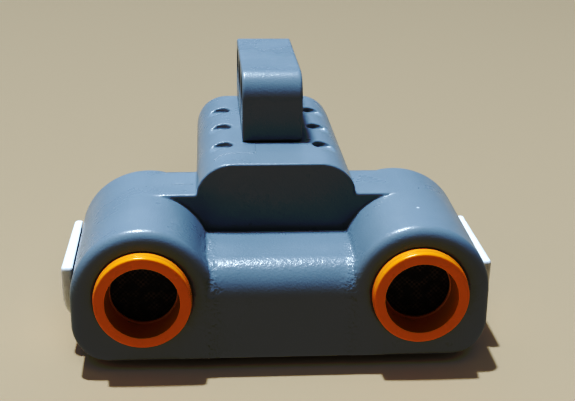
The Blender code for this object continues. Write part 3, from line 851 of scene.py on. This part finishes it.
def footField(x, y, z):
    # The foot under the cover: a broad pad under the head and a narrow one under the body, cored from below.
    s = footShape
    half = s["wall"] / 2
    headPad = roundBoth(np.abs(x) - s["headHalf"], slab(y, s["headFront"], s["headRear"]), s["corner"])
    bodyPad = roundBoth(np.abs(x) - s["bodyHalf"], slab(y, s["bodyFront"], s["bodyRear"]), s["corner"])
    pad = roundBoth(blendEither(headPad, bodyPad, s["fillet"]), -s["depth"] - z, s["edge"])
    pad = np.maximum(pad, z - coverShape["floor"] / 2)
    inner = s["corner"] - s["wall"]
    headCore = slab(np.abs(x), half, s["headHalf"] - s["wall"])
    headCore = roundBoth(headCore, slab(y, s["headFront"] + s["wall"], s["headRear"] - s["wall"]), inner)
    bodyCore = slab(np.abs(y - s["ribY"]), half, s["bodyRear"] - s["wall"] - s["ribY"])
    bodyCore = np.maximum(bodyCore, s["headRear"] - y)
    bodyCore = roundBoth(np.abs(x) - s["bodyHalf"] + s["wall"], bodyCore, inner)
    core = np.maximum(np.minimum(headCore, bodyCore), z - s["coreTop"])
    return blendBoth(pad, -core, s["coreEdge"])


def coverField(x, y, z):
    # The cheeks with the floor between them, the tray behind, and the foot, less the socket's hole.
    c, b, h = coverShape, bodyShape, headShape
    outer = roundBoth(np.abs(x) - c["cheekX"], -z, c["cornerRadius"])
    # The cheeks' front edge sweeps back as it nears the table, as a quarter ellipse.
    drop = np.clip((c["cheekTop"] - z) / c["cheekTop"], 0, 1)
    swept = c["cheekFront"] + c["sweep"] * (1 - np.sqrt(1 - c["sweepShare"] * drop**2))
    frontEdge = np.where(np.abs(x) < c["cheekInside"], c["cheekFront"], swept)
    head = roundBoth(outer, z - c["cheekTop"], c["edge"])
    head = roundBoth(head, np.maximum(frontEdge - y, y - c["cheekRear"]), c["endEdge"])
    # The cheeks hug the grey head, with a seam between them.
    greyHead = roundBoth(lobeSection(x, y, z), -z, h["bottomRadius"]) - c["seam"]
    head = blendBoth(head, -np.maximum(coverInside(x, z), greyHead), c["seamEdge"])
    tray = roundBoth(np.abs(x) - b["halfWidth"], -z, c["trayCorner"])
    tray = roundBoth(np.maximum(tray, z - b["split"] + c["trayGap"]), bodyPlan(x, y), b["rearEdge"])
    tray = np.maximum(tray, c["cheekRear"] - c["trayOverlap"] - y)
    inside = roundBoth(np.abs(x) - b["halfWidth"] + h["wall"], c["floor"] - z, c["trayInnerCorner"])
    inside = np.maximum(bodyPlan(x, y) + h["wall"], inside)
    inside = np.minimum(inside, np.maximum(c["floor"] - z, y - h["depth"] - c["trayGap"]))
    tray = blendBoth(tray, -inside, c["innerEdge"])
    cover = blendEither(blendEither(head, tray, c["fillet"]), footField(x, y, z), c["fillet"])
    return blendBoth(cover, -socketOpening(x, y, z), openingShape["edge"])


cover = netSurface(
    coverField,
    marks((-26.7, -20, 0.27), (-20, -16, 0.3), (-16, -11, 0.6), (-11, -5.5, 0.28), (-5.5, -1.2, 0.6),
          (-1.2, 1.2, 0.3), (1.2, 5.5, 0.6), (5.5, 11, 0.28), (11, 16, 0.6), (16, 20, 0.3), (20, 26.7, 0.27)),
    marks((5.8, 12.5, 0.27), (12.5, 19, 0.5), (19, 24, 0.27), (24, 31, 0.5), (31, 34.5, 0.28),
          (34.5, 42, 0.5), (42, 47.2, 0.28)),
    marks((-2.9, -1.5, 0.2), (-1.5, -0.7, 0.4), (-0.7, 5.5, 0.24), (5.5, 8.4, 0.4), (8.4, 10, 0.2)),
)
addPiece("baseCoverShell", cover, whitePlastic, stands=["base_cover"])
print("base cover:", len(cover[0]), "points")


# Eyes
ringShape = {
    "stand": 1.6,
    "radius": 5.57,
    "bore": 4.26,
    "throat": 3.84,
    "throatY": 2.1,
    "throatDepth": 0.42,
    "slope": 0.08,
    "throatFlare": 0.16,
    "seat": 4.9,
    "flange": 6.4,
    "flangeY": 3.1,
    "stepY": -0.75,
    "stepHeight": 0.09,
    "turns": 128,
}
screenShape = {"y": 2.35, "radius": 4.55, "pitch": 0.62, "rise": 0.05, "spacing": 0.1, "thickness": 0.12}
pipeShape = {
    "x": 8.7,
    "half": 0.8,
    "footX": 10.2,
    "front": 2.3,
    "footRear": 3.0,
    "rear": 13.9,
    "straightTo": 13.0,
    "low": 7.2,
    "high": 8.8,
    "edge": 0.3,
    "endEdge": 0.25,
    "margin": 0.4,
    "spacing": 0.15,
    "longSpacing": 1.0,
}


def ringProfile():
    # Corners as (radius, y, rounding), from the front face through the bore and round the flange.
    s = ringShape
    outer, raised = s["radius"], s["radius"] + s["stepHeight"]
    throatFront = s["throatY"] - s["throatDepth"]
    corners = [
        (outer, -s["stand"], 0.3),
        (s["bore"], -s["stand"], 0.1),
        (s["throat"] + s["throatFlare"], throatFront - s["slope"], 0.1),
        (s["throat"], throatFront, 0.05),
        (s["throat"], s["throatY"], 0.1),
        (s["seat"], s["throatY"], 0.05),
        (s["seat"], s["flangeY"], 0.1),
        (s["flange"], s["flangeY"], 0.1),
        (s["flange"], s["throatY"], 0.1),
        (raised, s["throatY"], 0.05),
        (raised, s["stepY"], 0.06),
        (outer, s["stepY"] - s["slope"], 0.05),
    ]
    return softCorners([corner[:2] for corner in corners], [corner[2] for corner in corners])


def screenSurface(centreX, centreZ):
    # Square weave: height(x, z) = rise sin(2 pi x / pitch) sin(2 pi z / pitch), kept within the radius.
    s = screenShape
    line = np.arange(-s["radius"] - s["spacing"], s["radius"] + s["spacing"], s["spacing"])
    x, z = np.meshgrid(line, line, indexing="ij")
    wave = 2 * math.pi / s["pitch"]
    y = s["y"] + s["rise"] * np.sin(wave * x) * np.sin(wave * z)
    points = np.stack([x + centreX, y, z + centreZ], axis=-1).reshape(-1, 3)
    size = len(line)
    row, column = np.meshgrid(np.arange(size - 1), np.arange(size - 1), indexing="ij")
    corners = [row * size + column, (row + 1) * size + column]
    corners += [(row + 1) * size + column + 1, row * size + column + 1]
    faces = np.stack(corners, axis=-1).reshape(-1, 4)
    middle = points[faces].mean(axis=1)
    kept = faces[np.hypot(middle[:, 0] - centreX, middle[:, 2] - centreZ) < s["radius"]]
    used, inverse = np.unique(kept, return_inverse=True)
    return points[used], inverse.reshape(-1, 4)


def barSurface(low, high, linesAlong):
    # A bar of the ring's light pipe between two corners, with rounded edges.
    p = pipeShape
    centre, half = (low + high) / 2, (high - low) / 2

    def field(x, y, z):
        section = roundBoth(np.abs(x - centre[0]) - half[0], np.abs(z - centre[2]) - half[2], p["edge"])
        return roundBoth(section, np.abs(y - centre[1]) - half[1], p["endEdge"])

    linesAcross, _, linesUp = (
        marks((start - p["margin"], end + p["margin"], p["spacing"])) for start, end in zip(low, high)
    )
    return netSurface(field, linesAcross, linesAlong, linesUp)


def lightPipe(side):
    # A foot out to the ring's flange, and the pipe that runs back from it to the lamp.
    p = pipeShape
    middle = side * p["x"]
    front, spacing = p["front"] - p["margin"], p["spacing"]
    footEnds = sorted((middle - side * p["half"], side * p["footX"]))
    foot = barSurface(
        np.array((footEnds[0], p["front"], p["low"])),
        np.array((footEnds[1], p["footRear"], p["high"])),
        marks((front, p["footRear"] + p["margin"], spacing)),
    )
    pipe = barSurface(
        np.array((middle - p["half"], p["front"], p["low"])),
        np.array((middle + p["half"], p["rear"], p["high"])),
        marks((front, p["footRear"], spacing), (p["footRear"], p["straightTo"], p["longSpacing"]),
              (p["straightTo"], p["rear"] + p["margin"], spacing)),
    )
    return joined(foot, pipe)


for side, label in ((-1, "Left"), (1, "Right")):
    eyeX = side * headShape["eyeX"]
    ring = profileSurface(ringProfile(), eyeX, headShape["eyeZ"], ringShape["turns"])
    addPiece(f"eyeRing{label}", joined(ring, lightPipe(side)), orangePlastic,
             stands=[f"eye_ring_{label.lower()}"], sharpAngle=50)
    screen = addPiece(f"eyeScreen{label}", screenSurface(eyeX, headShape["eyeZ"]), materials["eye_mesh"],
                      stands=[f"eye_mesh_{label.lower()}"])
    thickness = screen.modifiers.new("thickness", "SOLIDIFY")
    thickness.thickness = screenShape["thickness"] * millimetre
    thickness.offset = 0
print("eyes ready")


# Cable socket at the rear
socketLow, socketHigh = cadBox("cable_socket")
socketShape = {
    "plugHalf": 4.95,
    "plugLow": 6.2,
    "plugTop": 13.0,
    "latchFrom": 0.7,
    "latchTo": 4.1,
    "latchTop": 15.1,
    "leadIn": 0.45,
    "corner": 0.4,
    "endEdge": 0.3,
    "plugCorner": 0.3,
    "latchCorner": 0.25,
    "plugWall": 2.0,
    "latchWall": 5.0,
    "overlap": 1.0,
    "innerEdge": 0.25,
    "combSlot": 0.36,
    "combWall": 4.0,
    "combEnd": 0.5,
    "combFloor": 0.6,
    "combRise": 0.8,
    "combEdge": 0.12,
    "pitch": 1.02,
}


def socketField(x, y, z):
    # A block less the plug's space, the latch's space above it and the contacts' slots.
    s = socketShape
    front, rear = socketLow[1], socketHigh[1]
    body = roundBoth(np.abs(x) - socketHigh[0], slab(z, socketLow[2], socketHigh[2]), s["corner"])
    body = roundBoth(body, slab(y, front, rear), s["endEdge"])
    # Both spaces flare outwards over the last half millimetre, so that the plug finds its way in.
    flare = np.clip(y - rear + s["leadIn"], 0, s["leadIn"])
    plugHeight = slab(z, s["plugLow"] - flare, s["plugTop"] + flare)
    plug = roundBoth(np.abs(x) - s["plugHalf"] - flare, plugHeight, s["plugCorner"])
    plug = np.maximum(plug, front + s["plugWall"] - y)
    latchWidth = slab(x, s["latchFrom"] - flare, s["latchTo"] + flare)
    latchHeight = slab(z, s["plugTop"] - s["overlap"], s["latchTop"] + flare)
    latch = roundBoth(latchWidth, latchHeight, s["latchCorner"])
    latch = np.maximum(latch, front + s["latchWall"] - y)
    body = blendBoth(body, -np.minimum(plug, latch), s["innerEdge"])
    # Six slots in the floor, one under each contact: |x - nearest slot's middle| less half a slot.
    slotX = np.clip(np.round(x / s["pitch"] - 0.5), -3, 2) + 0.5
    comb = np.abs(x - slotX * s["pitch"]) - s["combSlot"]
    comb = np.maximum(comb, slab(y, front + s["combWall"], rear - s["combEnd"]))
    comb = np.maximum(comb, slab(z, socketLow[2] + s["combFloor"], s["plugLow"] + s["combRise"]))
    return blendBoth(body, -comb, s["combEdge"])


socket = netSurface(
    socketField,
    marks((-7, -4, 0.25), (-4, 4.5, 0.16), (4.5, 7, 0.25)),
    marks((socketLow[1] - 0.5, 37, 0.4), (37, 43.5, 0.4), (43.5, socketHigh[1] + 0.5, 0.17)),
    marks((socketLow[2] - 0.5, 7, 0.18), (7, 12.4, 0.4), (12.4, socketHigh[2] + 0.5, 0.2)),
)
addPiece("cableSocketBody", socket, blackPlastic, stands=["cable_socket"])
print("socket:", len(socket[0]), "points")

# A contact's route is (y, z) from its root, with how far each bend is rounded.
contactShape = {
    "count": 6,
    "radius": 0.21,
    "rootY": 43.8,
    "rootZ": 5.6,
    "route": [(0.5, -0.3), (0.0, 0.0), (-0.7, 0.3), (-5.4, 2.4), (-6.2, 2.6), (-6.9, 2.4)],
    "bends": [0, 0.2, 0.5, 0.35, 0.35, 0],
    "steps": 6,
    "sides": 12,
}
for contact in range(1, contactShape["count"] + 1):
    low, high = cadBox(f"contact_wire_{contact}")
    rootY, rootZ = contactShape["rootY"], contactShape["rootZ"]
    middleX = (low[0] + high[0]) / 2
    route = [(middleX, rootY + along, rootZ + upward) for along, upward in contactShape["route"]]
    route = softCorners(route, contactShape["bends"], contactShape["steps"], shut=False)
    wire = tubeSurface(route, contactShape["radius"], contactShape["sides"])
    addPiece(f"contactWire{contact}", wire, materials["contact"],
             stands=[f"contact_wire_{contact}"], body="contact_springs", sharpAngle=50)
print("contacts ready")

# Floor, light and camera
floorLook = {"colour": (0.53, 0.385, 0.255), "roughness": 0.75, "specular": 0.2, "half": 1.5}
half = floorLook["half"]
floorMesh = bpy.data.meshes.new("floorSheet")
floorCorners = [(-half, -half, 0), (half, -half, 0), (half, half, 0), (-half, half, 0)]
floorMesh.from_pydata(floorCorners, [], [(0, 1, 2, 3)])
floor = bpy.data.objects.new("floorSheet", floorMesh)
bpy.context.scene.collection.objects.link(floor)
floorMaterial, _, _, _ = newMaterial(
    "paleFloor", floorLook["colour"], floorLook["roughness"], specular=floorLook["specular"]
)
floorMesh.materials.append(floorMaterial)


def roomWorld():
    # A bluish window low behind the object, a room in front of it that is pale on the left and dark on the
    # right, and a plain ceiling. The colours are mixed by the direction looked in: x, y and z.
    world = bpy.data.worlds.new("softRoom")
    world.use_nodes = True
    nodes, links = world.node_tree.nodes, world.node_tree.links
    background = nodes["Background"]
    coordinates = nodes.new("ShaderNodeTexCoord")
    split = nodes.new("ShaderNodeSeparateXYZ")
    links.new(coordinates.outputs["Generated"], split.inputs["Vector"])
    behind = ramp(nodes, links, split.outputs["Y"], [(0.0, (0, 0, 0)), (0.55, (1, 1, 1))])
    high = ramp(nodes, links, split.outputs["Z"], [(0.45, (0, 0, 0)), (0.8, (1, 1, 1))])
    rightwards = nodes.new("ShaderNodeMapRange")
    rightwards.inputs["From Min"].default_value = -0.95
    rightwards.inputs["From Max"].default_value = -0.3
    links.new(split.outputs["X"], rightwards.inputs["Value"])
    room = mixColours(nodes, links, rightwards.outputs["Result"], roomLook["left"], roomLook["right"])
    sides = mixColours(nodes, links, behind, room, roomLook["window"])
    everywhere = mixColours(nodes, links, high, sides, roomLook["ceiling"])
    links.new(everywhere, background.inputs["Color"])
    bpy.context.scene.world = world


roomLook = {
    "window": (0.11, 0.15, 0.22),
    "ceiling": (0.10, 0.13, 0.17),
    "left": (0.42, 0.42, 0.42),
    "right": (0.045, 0.042, 0.035),
}
roomWorld()


# The floor's lamp hangs high overhead, a little to the left, and is small enough to cast a shadow with a
# clear edge, which a soft one in front lightens. The object's lamp hangs over it too, its sheen comes from
# one behind it, and a low, weak one fills in the rear end and its socket. Each lights only the floor, or
# everything but the floor, and gives either sheen alone or plain light alone.
lamps = {
    "floorLamp": {
        "position": (-0.30, 0.03, 1.98),
        "size": 0.09,
        "power": 40.0,
        "colour": (0.66, 0.84, 1.0),
        "onFloor": True,
        "sheen": False,
    },
    "floorFill": {
        "position": (0.0, -0.55, 0.45),
        "size": 0.5,
        "power": 2.2,
        "colour": (0.72, 0.86, 1.0),
        "onFloor": True,
        "sheen": False,
    },
    "objectLamp": {
        "position": (-0.11, 0.07, 0.68),
        "size": 0.12,
        "power": 9.3,
        "colour": (0.62, 0.785, 1.0),
        "onFloor": False,
        "sheen": False,
    },
    "sheenLamp": {
        "position": (-0.12, 0.36, 0.66),
        "size": 0.16,
        "power": 5.0,
        "colour": (0.8, 0.92, 1.0),
        "onFloor": False,
        "sheen": True,
    },
    "rearFill": {
        "position": (0.12, 0.50, 0.07),
        "size": 0.3,
        "power": 1.3,
        "colour": (0.85, 0.93, 1.0),
        "onFloor": False,
        "sheen": False,
    },
}


def addLight(name, look):
    light = bpy.data.lights.new(name, "AREA")
    light.shape = "DISK"
    light.size = look["size"]
    light.energy = look["power"]
    light.color = look["colour"]
    lamp = bpy.data.objects.new(name, light)
    lamp.location = look["position"]
    lamp.rotation_euler = Vector(look["position"]).to_track_quat("Z", "Y").to_euler()
    lamp.visible_diffuse = not look["sheen"]
    lamp.visible_glossy = look["sheen"]
    bpy.context.scene.collection.objects.link(lamp)
    receivers = bpy.data.collections.new(name + "Receivers")
    receivers.objects.link(floor)
    receivers.collection_objects[0].light_linking.link_state = "INCLUDE" if look["onFloor"] else "EXCLUDE"
    lamp.light_linking.receiver_collection = receivers


for lampName, lampLook in lamps.items():
    addLight(lampName, lampLook)

cameraShape = {
    "position": (-8.539, -116.999, 61.802),
    "yaw": 4.375,
    "pitch": 19.752,
    "roll": 0.79,
    "lens": 69.88,
    "nearest": 0.005,
}


def addCamera():
    # The view looks along +Y turned by yaw, tipped down by pitch, then rolled about its own line of sight.
    yaw, pitch, roll = (math.radians(cameraShape[key]) for key in ("yaw", "pitch", "roll"))
    ahead = Vector((math.sin(yaw) * math.cos(pitch), math.cos(yaw) * math.cos(pitch), -math.sin(pitch)))
    level = Vector((math.cos(yaw), -math.sin(yaw), 0))
    upright = level.cross(ahead)
    right = math.cos(roll) * level + math.sin(roll) * upright
    up = math.cos(roll) * upright - math.sin(roll) * level
    turn = Matrix((right, up, -ahead)).transposed()
    camera = bpy.data.objects.new("viewCamera", bpy.data.cameras.new("viewCamera"))
    camera.data.lens = cameraShape["lens"]
    camera.data.clip_start = cameraShape["nearest"]
    camera.matrix_world = Matrix.Translation(Vector(place(cameraShape["position"]))) @ turn.to_4x4()
    bpy.context.scene.collection.objects.link(camera)
    bpy.context.scene.camera = camera


addCamera()


# How light each lightness is shown, as (before, after).
contrastCurve = [
    (0.03, 0.0045), (0.055, 0.011), (0.067, 0.019), (0.10, 0.027), (0.13, 0.042), (0.17, 0.085),
    (0.21, 0.148), (0.28, 0.26), (0.45, 0.48), (0.7, 0.75),
]


def addContrast():
    # A camera's own contrast: a curve that deepens the shadows before the picture is shown. Of Blender's
    # four curves, number 3 is the one that red, green and blue share.
    settings = bpy.context.scene.view_settings
    settings.view_transform = "Standard"
    settings.use_curve_mapping = True
    curve = settings.curve_mapping.curves[3]
    for before, after in contrastCurve:
        curve.points.new(before, after)
    settings.curve_mapping.update()


addContrast()
print("stage ready")
